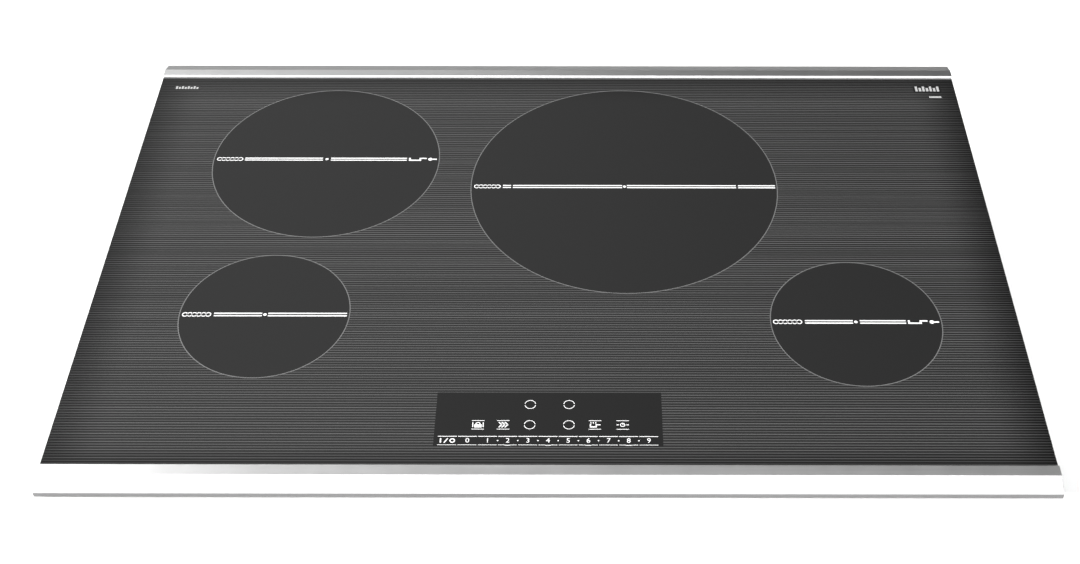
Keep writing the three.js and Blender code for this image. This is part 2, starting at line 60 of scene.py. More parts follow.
camera = bpy.data.objects.new("camera", bpy.data.cameras.new("camera"))
bpy.context.scene.collection.objects.link(camera)
bpy.context.scene.camera = camera
camera.data.sensor_width = 36
camera.data.lens = 51.24
camera.data.shift_x = -0.04156
look_down = Matrix.Rotation(math.radians(90 - 44.79), 4, "X")
roll = Matrix.Rotation(math.radians(0.0845), 4, "Z")
stand = Vector((0.03505, -1.254532, 1.19039)) * glass_width + Vector((0, 0, glass_high.z))
camera.matrix_world = Matrix.Translation(stand) @ look_down @ roll

# ------------------------------------------------------------------------------------------------
# Studio. A white floor, with a white step in front as high as the worktop that the cooktop drops
# into, a pale room, and softboxes overhead, in front, behind, and far behind at the left.
# ------------------------------------------------------------------------------------------------
scene = bpy.context.scene
scene.view_settings.view_transform = "Standard"
room = bpy.data.worlds.new("room")
room.use_nodes = True
scene.world = room
# the room is brighter to the left and overhead than to the right and near the floor
ROOM_LEVELS = {"X": (-0.26, 0.34, 0.39, 0.05), "Z": (0.0, 0.5, 0.2, 1.0)}  # from, to and the level at each
air, link = room.node_tree.nodes, room.node_tree.links
toward, split = air.new("ShaderNodeTexCoord"), air.new("ShaderNodeSeparateXYZ")
link.new(toward.outputs["Generated"], split.inputs[0])
levels = []
for axis, values in ROOM_LEVELS.items():
    level = air.new("ShaderNodeMapRange")
    level.interpolation_type = "SMOOTHSTEP"
    for socket, value in zip(("From Min", "From Max", "To Min", "To Max"), values):
        level.inputs[socket].default_value = value
    link.new(split.outputs[axis], level.inputs["Value"])
    levels.append(level)
strength = air.new("ShaderNodeMath")
strength.operation = "MULTIPLY"
for level, socket in zip(levels, strength.inputs):
    link.new(level.outputs["Result"], socket)
air["Background"].inputs["Color"].default_value = (1, 1, 1, 1)
link.new(strength.outputs[0], air["Background"].inputs["Strength"])

studio_white = bpy.data.materials.new("studio_white")
studio_white.use_nodes = True
paint = studio_white.node_tree.nodes["Principled BSDF"].inputs
paint["Base Color"].default_value = (0.96, 0.96, 0.96, 1)
paint["Roughness"].default_value = 1
paint["Specular IOR Level"].default_value = 0


def studio_sheet(name, low, high):
    bm = bmesh.new()
    bmesh.ops.create_cube(bm, size=1)
    size = Vector(high) - Vector(low)
    bmesh.ops.scale(bm, vec=size, verts=bm.verts)
    bmesh.ops.translate(bm, vec=Vector(low) + size / 2, verts=bm.verts)
    mesh = bpy.data.meshes.new(name)
    bm.to_mesh(mesh)
    bm.free()
    sheet = bpy.data.objects.new(name, mesh)
    scene.collection.objects.link(sheet)
    mesh.materials.append(studio_white)


front_trim_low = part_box("front_trim")[0]
step_edge = front_trim_low.y + 6 * MM
step_top = front_trim_low.z - 1 * MM
studio_sheet("floor", (-6, -6, -0.05), (6, 6, 0))
studio_sheet("worktop_step", (-3, -3, 0.001), (3, step_edge, step_top))


def softbox(name, place, tilt, heading, width, height, power):
    """A flat light that faces straight down until it is tilted and turned to its heading."""
    light = bpy.data.lights.new(name, "AREA")
    light.shape = "RECTANGLE"
    light.size = width
    light.size_y = height
    light.energy = power
    box = bpy.data.objects.new(name, light)
    scene.collection.objects.link(box)
    box.location = place
    box.rotation_euler = (math.radians(tilt), 0, math.radians(heading))


softbox("overhead", (0, -0.3, 2.2), 0, 0, 3.2, 1.4, 66)
softbox("front", (0, -2.3, 1.4), 64, 0, 3.4, 2.2, 66)
softbox("rear", (-1.0, 2.4, 1.15), 64, 180, 1.8, 0.5, 4)
softbox("left_rear", (-2.9, 2.2, 2.4), 57.7, 232.8, 2.0, 2.0, 104)

# ------------------------------------------------------------------------------------------------
# Glass. One pane of black ceramic glass with ground and polished edges. Fine grey lines are fired
# on it from side to side, left out in the round zones and in the control field.
# ------------------------------------------------------------------------------------------------
LINE_PITCH = 2.68 * MM
ZONES = {  # each zone's centre, across and back, and its radius
    "left_rear": (-213.7, 117.7, 105.1),
    "right_rear": (63.1, 83.1, 140.1),
    "left_front": (-241.8, -82.2, 71.5),
    "right_front": (254.4, -90.2, 71.5),
}
FIELD = (-90.3, -224.4, 88.5, -168.9)  # the control field's left, front, right and rear


class Wire:
    """A socket in a material's node tree that ordinary sums can be written with."""

    def __init__(self, tree, socket):
        self.tree = tree
        self.socket = socket

    def node(self, kind, settings=(), **sockets):
        made = self.tree.nodes.new(kind)
        for name, value in dict(settings).items():
            setattr(made, name, value)
        for name, value in sockets.items():
            socket = made.inputs[int(name[1:])] if name[0] == "_" else made.inputs[name.replace("__", " ")]
            if isinstance(value, Wire):
                self.tree.links.new(value.socket, socket)
            else:
                socket.default_value = value
        return made

    def maths(self, operation, *values):
        sockets = {f"_{i}": value for i, value in enumerate(values or (self,))}
        made = self.node("ShaderNodeMath", {"operation": operation}, **sockets)
        return Wire(self.tree, made.outputs[0])

    def __add__(self, other):
        return self.maths("ADD", self, other)

    __radd__ = __add__

    def __sub__(self, other):
        return self.maths("SUBTRACT", self, other)

    def __rsub__(self, other):
        return self.maths("SUBTRACT", other, self)

    def __mul__(self, other):
        return self.maths("MULTIPLY", self, other)

    __rmul__ = __mul__

    def __truediv__(self, other):
        return self.maths("DIVIDE", self, other)

    def smooth(self, low, high):
        """0 below low, 1 above high, and an even curve between them."""
        made = self.node(
            "ShaderNodeMapRange", {"interpolation_type": "SMOOTHSTEP"},
            Value=self, From__Min=low, From__Max=high, To__Min=0.0, To__Max=1.0,
        )
        return Wire(self.tree, made.outputs["Result"])

    def between(self, low, high, soft):
        """1 from low to high, fading to 0 over a soft edge."""
        return self.smooth(low - soft, low + soft) * (1 - self.smooth(high - soft, high + soft))


class Finish:
    """A material with one Principled shader, and the object's own coordinates to draw with."""

    def __init__(self, name, color, roughness, metallic=0.0, **constants):
        self.material = bpy.data.materials.new(name)
        self.material.use_nodes = True
        self.tree = self.material.node_tree
        self.shader = self.tree.nodes["Principled BSDF"]
        self.color = color
        self.roughness = roughness
        self.set("Base Color", (*color, 1))
        self.set("Roughness", roughness)
        self.set("Metallic", metallic)
        for socket, value in constants.items():
            self.set(socket.replace("__", " "), value)
        place = self.tree.nodes.new("ShaderNodeTexCoord")
        self.place = Wire(self.tree, place.outputs["Object"])
        split = self.place.node("ShaderNodeSeparateXYZ", _0=self.place)
        self.x, self.y, self.z = (Wire(self.tree, socket) for socket in split.outputs)

    def set(self, socket, value):
        if isinstance(value, Wire):
            self.tree.links.new(value.socket, self.shader.inputs[socket])
        else:
            self.shader.inputs[socket].default_value = value

    def shades(self, factor, dark, light):
        """A colour between dark and light."""
        mix = self.place.node("ShaderNodeMix", {"data_type": "RGBA"}, _0=factor)
        mix.inputs[6].default_value = (*dark, 1)
        mix.inputs[7].default_value = (*light, 1)
        return Wire(self.tree, mix.outputs[2])

    def stretched(self, features):
        """The object's coordinates, with this many features a metre along each axis."""
        mapped = self.place.node("ShaderNodeMapping", Vector=self.place, Scale=features)
        return Wire(self.tree, mapped.outputs[0])

    def noise(self, features, detail=2.0, roughness=0.5):
        made = self.place.node(
            "ShaderNodeTexNoise", Vector=self.stretched(features),
            Scale=1.0, Detail=detail, Roughness=roughness,
        )
        return Wire(self.tree, made.outputs["Fac"])

    def flakes(self, features):
        """One random level, 0 to 1, for each cell of a crystal pattern."""
        made = self.place.node("ShaderNodeTexVoronoi", Vector=self.stretched(features), Scale=1.0)
        level = self.place.node("ShaderNodeSeparateColor", _0=Wire(self.tree, made.outputs["Color"]))
        return Wire(self.tree, level.outputs[0])

    def bumped(self, height, depth):
        bump = self.place.node("ShaderNodeBump", Height=height, Distance=depth, Strength=1.0)
        self.set("Normal", Wire(self.tree, bump.outputs["Normal"]))

    def varied(self, level, spread, rough=0.0, depth=0.0):
        """Lets one pattern vary the colour by a share, the roughness and the surface height."""
        dark = [c * (1 - spread) for c in self.color]
        light = [min(1, c * (1 + spread)) for c in self.color]
        self.set("Base Color", self.shades(level, dark, light))
        if rough:
            self.set("Roughness", self.roughness - rough / 2 + rough * level)
        if depth:
            self.bumped(level, depth)
        return self.material

    def grained(self, features, spread, rough=0.0, depth=0.0, detail=2.0, roughness=0.5):
        """The finish's material, varied all over by one noise."""
        return self.varied(self.noise(features, detail, roughness), spread, rough, depth)


def black_glass():
    finish = Finish("black_glass", (0.02, 0.02, 0.02), 0.07, IOR=1.5)
    x, y = finish.x, finish.y
    line = (y * (2 * math.pi / LINE_PITCH)).maths("COSINE").smooth(0.0, 0.8)
    row = (y / LINE_PITCH).maths("ROUND")
    strength = row.node("ShaderNodeTexWhiteNoise", {"noise_dimensions": "1D"}, W=row)
    line = line * (0.72 + 0.56 * Wire(finish.tree, strength.outputs["Value"]))
    clear = None
    for across, back, radius in ZONES.values():
        dx, dy = x - across * MM, y - back * MM
        outside = (dx * dx + dy * dy).maths("SQRT").smooth((radius - 0.2) * MM, (radius + 0.2) * MM)
        clear = outside if clear is None else clear * outside
    left, front, right, rear = (value * MM for value in FIELD)
    field = x.between(left, right, 0.2 * MM) * y.between(front, rear, 0.2 * MM)
    # The lines fade out towards the sides, the rear and the front, and the same factors darken the plain
    # glass there: partly a print fade, partly painted shade near the trims.
    side_fade_and_painted_shade = (glass_width / 2 - x.maths("ABSOLUTE")).smooth(-14 * MM, 48 * MM)
    rear_fade_and_painted_shade = (glass_high.y - y).smooth(-16 * MM, 42 * MM)
    front_fade_and_painted_shade = (y - glass_low.y).smooth(-10 * MM, 24 * MM)
    print_fade_and_painted_shade = side_fade_and_painted_shade * rear_fade_and_painted_shade * front_fade_and_painted_shade
    printed = line * clear * (1 - field)
    bright = (0.011 + 0.0045 * (1 - field) + printed * 0.057) * (0.25 + 0.75 * print_fade_and_painted_shade)
    finish.set("Base Color", finish.shades(bright, (0, 0, 0), (1, 1, 1)))
    finish.set("Roughness", 0.05 + 0.05 * finish.noise((14, 14, 14), 3.0))
    return finish.material


def new_piece(name, bm, material, body="chassis", smooth=30, replaces=()):
    """Makes a piece from a shape in millimetres; several materials go by the faces' numbers."""
    bmesh.ops.scale(bm, vec=(MM, MM, MM), verts=bm.verts)
    mesh = bpy.data.meshes.new(name)
    bm.to_mesh(mesh)
    bm.free()
    for each in material if isinstance(material, list) else [material]:
        mesh.materials.append(each)
    mesh.shade_smooth()
    mesh.set_sharp_from_angle(angle=math.radians(smooth))
    piece = bpy.data.objects.new(name, mesh)
    scene.collection.objects.link(piece)
    flats = piece.modifiers.new("level_flats", "WEIGHTED_NORMAL")
    flats.keep_sharp = True
    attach(piece, body)
    if replaces:
        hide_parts(*replaces)
    return piece


def cad_shape(node):
    """The node's own shape in millimetres, with its triangles merged back into whole faces."""
    bm = bmesh.new()
    bm.from_mesh(nodes[node].data)
    bmesh.ops.scale(bm, vec=(1 / MM, 1 / MM, 1 / MM), verts=bm.verts)
    bmesh.ops.remove_doubles(bm, verts=bm.verts, dist=0.002)
    bmesh.ops.dissolve_limit(bm, angle_limit=math.radians(0.5), verts=bm.verts, edges=bm.edges)
    return bm


def rounded(bm, edges, width, segments):
    bmesh.ops.bevel(
        bm, geom=edges, offset=width, segments=segments, affect="EDGES", profile=0.5,
        material=-1, clamp_overlap=True,
    )
    return bm


def eased(bm, width, segments=2, sharper=30):
    """Rounds every edge that turns by more than this angle, where there is room beside its ends."""
    turn = math.radians(sharper)
    sharp = [e for e in bm.edges if e.is_manifold and e.calc_face_angle(0) > turn]
    turning = set(sharp)

    def cramped(edge, corner):
        """Whether something beside this end of the edge is too near for its rounding."""
        along = (edge.other_vert(corner).co - corner.co).normalized()
        for other in set(corner.link_edges) - {edge}:
            reach = other.other_vert(corner).co - corner.co
            in_face = other not in turning and set(other.link_faces) & set(edge.link_faces)
            if reach.length < 2 * width or in_face and reach.cross(along).length < 2 * width:
                return True
        return False

    roomy = [e for e in sharp if not any(cramped(e, corner) for corner in e.verts)]
    return rounded(bm, roomy, width, segments)


def softened(name, node, material, width, segments=2, sharper=30, body="chassis"):
    """A piece in the node's own shape, with its edges rounded by this width."""
    new_piece(name, eased(cad_shape(node), width, segments, sharper), material, body, replaces=[node])


softened("ceramic_glass", "glass_panel", black_glass(), 0.4, 3)

# ------------------------------------------------------------------------------------------------
# Enamel marks. Thin screen-printed enamel fired on the glass: a grey outline round each zone, and
# white double bars, signs, digits and key lines. All signs are plain ones drawn for this cooktop.
# ------------------------------------------------------------------------------------------------
ENAMEL_LOW = glass_high.z / MM - 0.02
ENAMEL_HIGH = glass_high.z / MM + 0.03


def block(bm, low, high):
    made = bmesh.ops.create_cube(bm, size=1)["verts"]
    low, high = Vector(low), Vector(high)
    bmesh.ops.scale(bm, vec=high - low, verts=made)
    bmesh.ops.translate(bm, vec=(low + high) / 2, verts=made)
    return made


def added_since(bm, known):
    return [v for v in bm.verts if v not in known]


def turned(bm, outline, centre=(0, 0, 0), steps=48, start=0, sweep=360):
    """Turns a closed outline of [radius, height] points about an upright axis through centre."""
    known = set(bm.verts)
    points = [bm.verts.new(Vector(centre) + Vector((radius, 0, height))) for radius, height in outline]
    face = bm.faces.new(points)
    edges = list(face.edges)
    if sweep == 360:
        bmesh.ops.delete(bm, geom=[face], context="FACES_ONLY")
        face = None
    bmesh.ops.rotate(bm, cent=centre, matrix=Matrix.Rotation(math.radians(start), 3, "Z"), verts=points)
    bmesh.ops.spin(
        bm, geom=points + edges + ([face] if face else []), cent=centre, axis=(0, 0, 1), dvec=(0, 0, 0),
        angle=math.radians(sweep), steps=steps, use_merge=face is None, use_duplicate=False,
    )
    bmesh.ops.remove_doubles(bm, verts=added_since(bm, known), dist=1e-4)
    made = added_since(bm, known)
    bmesh.ops.recalc_face_normals(bm, faces=list({f for v in made for f in v.link_faces}))
    return made


def printed_bar(bm, left, front, right, rear):
    return block(bm, (left, front, ENAMEL_LOW), (right, rear, ENAMEL_HIGH))


def printed_line(bm, ends, width):
    """A straight line of this width between two points."""
    start, end = (Vector(end) for end in ends)
    made = printed_bar(bm, 0, -width / 2, (end - start).length, width / 2)
    turn = Matrix.Rotation((end - start).angle_signed(Vector((1, 0))), 3, "Z")
    bmesh.ops.rotate(bm, cent=(0, 0, 0), matrix=turn, verts=made)
    bmesh.ops.translate(bm, vec=(*start, 0), verts=made)


def printed_arc(bm, centre, radius, width, start=0, sweep=360, steps=20):
    inner, outer = max(radius - width / 2, 0), radius + width / 2
    outline = [(inner, ENAMEL_LOW), (outer, ENAMEL_LOW), (outer, ENAMEL_HIGH), (inner, ENAMEL_HIGH)]
    turned(bm, outline, (*centre, 0), steps, start, sweep)


def coil_sign(bm, left, middle):
    """A row of overlapping loops, for the induction coil."""
    for loop in range(6):
        printed_arc(bm, (left + 2.5 + 3.9 * loop, middle), 2.1, 0.9, steps=16)


def pan_sign(bm, left, middle):
    """A pan with its handle, beside a bulb thermometer."""
    printed_bar(bm, left, middle - 2.2, left + 11.5, middle - 0.6)
    printed_bar(bm, left, middle - 0.7, left + 1.7, middle + 2)
    printed_bar(bm, left + 9.8, middle - 0.7, left + 11.5, middle + 2)
    printed_bar(bm, left + 11.4, middle + 0.5, left + 16.5, middle + 2)
    printed_arc(bm, (left + 20, middle), 1, 2, steps=14)
    printed_bar(bm, left + 21.6, middle - 0.8, left + 26, middle + 0.8)


def double_bar(bm, left, right, middle):
    """Two bars side by side, 2.8 mm apart."""
    for offset in (-1.4, 1.4):
        printed_bar(bm, left, middle + offset - 0.67, right, middle + offset + 0.67)


# For each zone: the level of its marks, where the coil sign starts, the bars as [left, right],
# the middle dot, and where the pan sign starts.
ZONE_MARKS = {
    "left_rear": (119.0, -316.1, [(-290.0, -217.3), (-209.8, -138.9)], -213.5, -137.0),
    "right_rear": (80.8, -74.3, [(-47.8, -40.4), (-38.6, 61.3), (65.8, 165.6), (167.5, 201.4)], 63.5, None),
    "left_front": (-82.6, -311.1, [(-284.2, -243.9), (-238.8, -172.5)], -241.4, None),
    "right_front": (-90.2, 184.8, [(211.6, 251.7), (257.6, 296.1)], 254.2, 297.8),
}
white_marks = bmesh.new()
outlines = bmesh.new()
for zone, (level, sign, bars, dot, pan) in ZONE_MARKS.items():
    across, back, radius = ZONES[zone]
    printed_arc(outlines, (across, back), radius, 0.8, steps=160)
    coil_sign(white_marks, sign, level)
    for left, right in bars:
        double_bar(white_marks, left, right, level)
    printed_arc(white_marks, (dot, level), 0.75, 1.5, steps=12)
    if pan is not None:
        pan_sign(white_marks, pan, level)

# The control field: indicator rings of two arcs, four keys between short lines, and a power scale
# in segments, with the off key in the first and a digit in each of the rest.
INDICATORS = [(x, y) for x in (-15.8, 15.0) for y in (-181.5, -202.4)]
KEYS = {"lock": -56.4, "boost": -36.6, "pan": 35.4, "timer": 57.2}
KEY_LEVEL = -202.4
SCALE = {"left": -87.0, "pitch": 15.7, "segments": 11, "rear": -214.2, "front": -222.7, "middle": -218.4}
OFF_KEY = -79.7
FIRST_DIGIT = -63.9

for place in INDICATORS:
    for start in (9, 189):
        printed_arc(white_marks, place, 4.25, 0.55, start, 162, 18)
for x in KEYS.values():
    for front in (KEY_LEVEL + 3.95, KEY_LEVEL - 4.75):
        printed_bar(white_marks, x - 4.9, front, x + 4.9, front + 0.55)


def lock_sign(bm, x, y):
    printed_bar(bm, x - 2.9, y - 2.8, x + 2.9, y + 0.3)
    printed_arc(bm, (x, y + 0.5), 1.75, 0.75, 0, 180, 10)
    for side in (-4.1, 4.1):
        printed_bar(bm, x + side - 0.4, y - 2.4, x + side + 0.4, y + 2.4)


def boost_sign(bm, x, y):
    for step in (-2.9, -0.5, 1.9):
        printed_line(bm, [(x + step - 0.6, y - 2.7), (x + step + 1.9, y + 0.15)], 0.95)
        printed_line(bm, [(x + step - 0.6, y + 2.7), (x + step + 1.9, y - 0.15)], 0.95)


def small_pan_sign(bm, x, y):
    printed_bar(bm, x - 4, y - 2.7, x + 1.6, y - 1.5)
    printed_bar(bm, x - 4, y - 1.6, x - 3, y + 0.6)
    printed_bar(bm, x + 0.6, y - 1.6, x + 1.6, y + 0.6)
    printed_bar(bm, x + 1.5, y - 0.4, x + 4.4, y + 0.5)
    for steam in (-3.1, -1.2, 0.7):
        printed_bar(bm, x + steam - 0.35, y + 1.3, x + steam + 0.35, y + 2.9)


def timer_sign(bm, x, y):
    printed_arc(bm, (x, y), 1.75, 0.6, steps=16)
    printed_line(bm, [(x, y - 0.2), (x, y + 1.3)], 0.5)
    printed_line(bm, [(x - 0.2, y), (x + 1.1, y)], 0.5)
    for side in (-3.9, 3.9):
        printed_bar(bm, x + side - 0.9, y - 0.4, x + side + 0.9, y + 0.4)


lock_sign(white_marks, KEYS["lock"], KEY_LEVEL)
boost_sign(white_marks, KEYS["boost"], KEY_LEVEL)
small_pan_sign(white_marks, KEYS["pan"], KEY_LEVEL)
timer_sign(white_marks, KEYS["timer"], KEY_LEVEL)

for segment in range(SCALE["segments"]):
    left = SCALE["left"] + SCALE["pitch"] * segment
    right = left + SCALE["pitch"] - 1.0
    printed_bar(white_marks, left, SCALE["rear"] - 0.3, right, SCALE["rear"] + 0.3)
    printed_bar(white_marks, left, SCALE["front"] - 0.22, right, SCALE["front"] + 0.22)


def off_sign(bm, x, y):
    """The usual bar, slash and ring of a power switch."""
    printed_bar(bm, x - 5.6, y - 2.1, x - 4.5, y + 2.1)
    printed_line(bm, [(x - 2.3, y - 2.2), (x + 0.5, y + 2.2)], 0.9)
    printed_arc(bm, (x + 4.1, y), 1.75, 0.95, steps=18)


def printed_digit(bm, digit, x, y, height):
    """A digit of this height, filled and as thick as the rest of the enamel."""
    curve = bpy.data.curves.new("digit", "FONT")
    curve.body = str(digit)
    curve.align_x = curve.align_y = "CENTER"
    curve.size = height / 0.7
    curve.extrude = (ENAMEL_HIGH - ENAMEL_LOW) / 2
    writing = bpy.data.objects.new("digit", curve)
    scene.collection.objects.link(writing)
    bpy.context.view_layer.update()
    mesh = bpy.data.meshes.new_from_object(writing.evaluated_get(bpy.context.evaluated_depsgraph_get()))
    mesh.transform(Matrix.Translation((x, y, (ENAMEL_LOW + ENAMEL_HIGH) / 2)))
    bm.from_mesh(mesh)
    bpy.data.objects.remove(writing)
    bpy.data.meshes.remove(mesh)


off_sign(white_marks, OFF_KEY, SCALE["middle"])
for digit in range(10):
    x = FIRST_DIGIT + SCALE["pitch"] * digit
    printed_digit(white_marks, digit, x, SCALE["middle"], 4.5)
    if 1 <= digit <= 8:
        # a dot for the half step after it
        printed_arc(white_marks, (x + SCALE["pitch"] / 2, SCALE["middle"]), 0.3, 0.6, steps=10)
    if digit in (2, 4, 6, 8):
        # a thicker stretch of the scale's front line
        printed_bar(white_marks, x - 2.3, SCALE["front"] - 0.7, x + 2.3, SCALE["front"] + 0.1)
bmesh.ops.remove_doubles(white_marks, verts=white_marks.verts, dist=1e-4)

# In the rear corners, where a maker would print its own marks, plain strokes stand on dark patches.
# Each row has its left end, its front, its width, its depth and the number of its strokes.
CORNER_ROWS = [(-375.4, 225.2, 23, 4.2, 8), (351, 222.9, 24.5, 7.8, 7)]
corner_marks = bmesh.new()
patches = bmesh.new()
for left, front, width, depth, strokes in CORNER_ROWS:
    printed_bar(patches, left - 1.2, front - 1, left + width + 1.2, front + depth + 1)
    pitch = width / strokes
    for stroke in range(strokes):
        foot = left + pitch * (stroke + 0.18)
        end = front + depth * (0.7 if stroke % 2 else 1)
        block(corner_marks, (foot, front, ENAMEL_HIGH - 0.01), (foot + 0.66 * pitch, end, ENAMEL_HIGH + 0.02))
# a short bar in front of the right-hand row
printed_bar(corner_marks, 363.6, 212.7, 375.4, 215.1)


def enamel(name, grey, roughness, features, spread):
    """A grey enamel, mottled by a noise with this many features a metre."""
    return Finish(name, (grey, grey, grey), roughness).grained((features, features, features), spread, 0.1)


new_piece("white_marks", white_marks, enamel("white_enamel", 0.82, 0.4, 900, 0.05))
new_piece("corner_marks", corner_marks, enamel("light_enamel", 0.42, 0.4, 700, 0.1))
new_piece("zone_outlines", outlines, enamel("grey_enamel", 0.13, 0.35, 500, 0.12))
new_piece("corner_patches", patches, enamel("dark_enamel", 0.008, 0.3, 600, 0.2))

# ------------------------------------------------------------------------------------------------
# Trims. Folded stainless strips in front and behind. A level band beside the glass is brushed
# bright; the fall outside it is painted shade, a darker copy of the same steel, and the lip on
# the worktop is painted shade in a dull, darker steel.
# ------------------------------------------------------------------------------------------------
steel = Finish("brushed_steel", (0.68, 0.68, 0.68), 0.34, 1.0)
grain = 0.7 * steel.noise((5, 3600, 3600), 3.0, 0.6) + 0.3 * steel.noise((60, 60, 60), 4.0, 0.6)
brushed_steel = steel.varied(grain, 0.14, 0.16, 0.012 * MM)
# the falls' painted shade: the same brushed steel with a darker base colour
fall_steel_painted_shade = Finish("fall_brushed_steel_painted_shade", (0.33, 0.33, 0.33), 0.34, 1.0).grained(
    (5, 3600, 3600), 0.12, 0.16, 0.012 * MM, 3.0, 0.6,
)
# the lip's painted shade: a darker, rougher steel along the trim's outer edge
lip_steel_painted_shade = Finish("lip_steel_painted_shade", (0.27, 0.27, 0.27), 0.6, 1.0).grained(
    (900, 900, 60), 0.15, 0.15, 0.02 * MM, 3.0,
)
STEELS = [brushed_steel, fall_steel_painted_shade, lip_steel_painted_shade]


def box_of(node):
    """The two corners of the node's box in millimetres."""
    return (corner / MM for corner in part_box(node))


for trim, facing in (("front_trim", -1), ("rear_trim", 1)):
    low, high = box_of(trim)
    shape = cad_shape(trim)
    top = high.z - 0.1
    glass_side = min(facing * v.co.y for v in shape.verts if v.co.z > top)
    crest = [v for v in shape.verts if v.co.z > top and abs(facing * v.co.y - glass_side) < 0.05]
    if trim == "rear_trim":
        # its wall above the glass leans back a little
        geometry = list(shape.verts) + list(shape.edges) + list(shape.faces)
        glass_level = Vector((0, 0, glass_high.z / MM))
        bmesh.ops.bisect_plane(shape, geom=geometry, dist=1e-4, plane_co=glass_level, plane_no=(0, 0, 1))
        bmesh.ops.translate(shape, vec=(0, 0.9, 0), verts=crest)
    else:
        rounded(shape, [e for e in shape.edges if set(e.verts) <= set(crest)], 0.7, 4)
    eased(shape, 0.3, 3, 15)
    lip = max(abs(low.y), abs(high.y)) - 0.5
    # the fall faces and the outer lip take the painted-shade steels
    for face in shape.faces:
        falls = face.normal.z > 0.8 and face.normal.y * facing > 0.2
        lip_in_painted_shade = face.normal.y * facing > 0.9 and abs(face.calc_center_median().y) > lip
        face.material_index = 2 if lip_in_painted_shade else int(falls)
    new_piece(f"steel_{trim}", shape, STEELS, replaces=[trim])

# ------------------------------------------------------------------------------------------------
# Seal. One ring of black closed-cell foam that beds the rim on the worktop. Its cut faces show the
# fine open bubbles of the foam.
# ------------------------------------------------------------------------------------------------
foam = Finish("black_foam", (0.03, 0.03, 0.031), 0.92).grained(
    (1500, 1500, 1500), 0.5, 0.1, 0.25 * MM, 4.0, 0.7,
)
softened("foam_seal", "countertop_seal", foam, 0.5)

# ------------------------------------------------------------------------------------------------
# Base pan. Deep-drawn galvanised sheet with soft bends, punched air inlets under the two blowers
# and exhaust slots in its rear wall. The zinc shows its crystal flakes.
# ------------------------------------------------------------------------------------------------
galvanised = Finish("galvanised_steel", (0.4, 0.415, 0.425), 0.46, 1.0)
crystals = 0.6 * galvanised.flakes((150, 150, 150)) + 0.4 * galvanised.noise((30, 30, 30), 5.0, 0.65)
zinc = galvanised.varied(crystals, 0.42, 0.26, 0.015 * MM)


def pressed_pan():
    """The pan's own shape, with a soft bend round its floor and crisp punched edges."""
    shape = cad_shape("base_pan")
    low, high = box_of("base_pan")
    corner_reach = 9  # the corners' arcs stay within this of the sides

    def on_floor_rim(vert):
        at_side = min(abs(vert.co.x - low.x), abs(vert.co.x - high.x)) < corner_reach
        at_end = min(abs(vert.co.y - low.y), abs(vert.co.y - high.y)) < corner_reach
        return abs(vert.co.z) < 0.05 and (at_side or at_end)

    rim = [e for e in shape.edges if e.is_manifold and all(map(on_floor_rim, e.verts))]
    rounded(shape, [e for e in rim if e.calc_face_angle(0) > 1], 1.6, 5)
    return eased(shape, 0.18, 2, 40)


new_piece("pan", pressed_pan(), zinc, replaces=["base_pan"])
for rail in ("left_rail", "right_rail"):
    softened(f"glass_{rail}", rail, zinc, 0.3)

# ------------------------------------------------------------------------------------------------
# Case screws. Zinc-plated pan heads with a hexagon socket and a rolled thread, two in each side
# wall, holding the pan to the rails under the glass.
# ------------------------------------------------------------------------------------------------
screw_steel = Finish("screw_steel", (0.6, 0.6, 0.58), 0.32, 1.0).grained(
    (1200, 1200, 1200), 0.15, 0.2, 0.01 * MM, 3.0,
)


def screw(bm, place, direction, head, height, shank, length):
    """A pan-head screw with its seat at place and its head on the direction's side of it."""
    known = set(bm.verts)
    socket = 0.52 * head
    dome = [(head - 0.6, 0), (head, 0.3), (head, 0.45 * height), (0.8 * head, 0.85 * height)]
    turned(bm, [(0, 0), *dome, (socket, height), (socket, 0.35 * height), (0, 0.35 * height)], steps=24)
    pitch, root = 0.8, 0.78 * shank
    thread = [(0, -length), (0.5 * shank, -length)]
    for crest in range(int(length / pitch), 0, -1):
        thread += [(root, -pitch * crest + 0.1), (shank, -pitch * crest + 0.45)]
    turned(bm, [*thread, (root, 0.3), (0, 0.3)], steps=14)
    made = added_since(bm, known)
    recess = [v for v in made if abs(Vector(v.co.xy).length - socket) < 0.01 and v.co.z > 0.3]
    for vert in recess:
        # the turned recess is pressed to a hexagon
        corner = math.radians(30)
        angle = math.atan2(vert.co.y, vert.co.x)
        turn = (angle % (2 * corner)) - corner
        reach = socket * math.cos(corner) / math.cos(turn)
        vert.co.x, vert.co.y = reach * math.cos(angle), reach * math.sin(angle)
    turn = Vector((0, 0, 1)).rotation_difference(Vector(direction)).to_matrix()
    bmesh.ops.rotate(bm, cent=(0, 0, 0), matrix=turn, verts=made)
    bmesh.ops.translate(bm, vec=place, verts=made)


CORNERS = [f"{side}_{end}" for side in ("left", "right") for end in ("front", "rear")]
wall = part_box("base_pan")[1].x / MM  # the side walls' outer faces are as far left and right
for corner in CORNERS:
    node = f"{corner}_case_screw"
    low, high = box_of(node)
    middle = (low + high) / 2
    side = -1 if corner.startswith("left") else 1
    seat = (wall + 0.3) * side
    shape = bmesh.new()
    screw(shape, (seat, middle.y, middle.z), (side, 0, 0), head=4, height=2.2, shank=1.9, length=8)
    new_piece(f"{corner}_socket_screw", shape, screw_steel, replaces=[node])

# ------------------------------------------------------------------------------------------------
# Spring clips. Four bent leaves of blued spring steel that hook into the side walls, spring out
# under the worktop and hold the cooktop down. Each is stiffened by two pressed ribs.
# ------------------------------------------------------------------------------------------------
spring_steel = Finish("blued_spring_steel", (0.3, 0.31, 0.34), 0.36, 1.0).grained(
    (220, 40, 220), 0.3, 0.2, 0.01 * MM, 4.0,
)


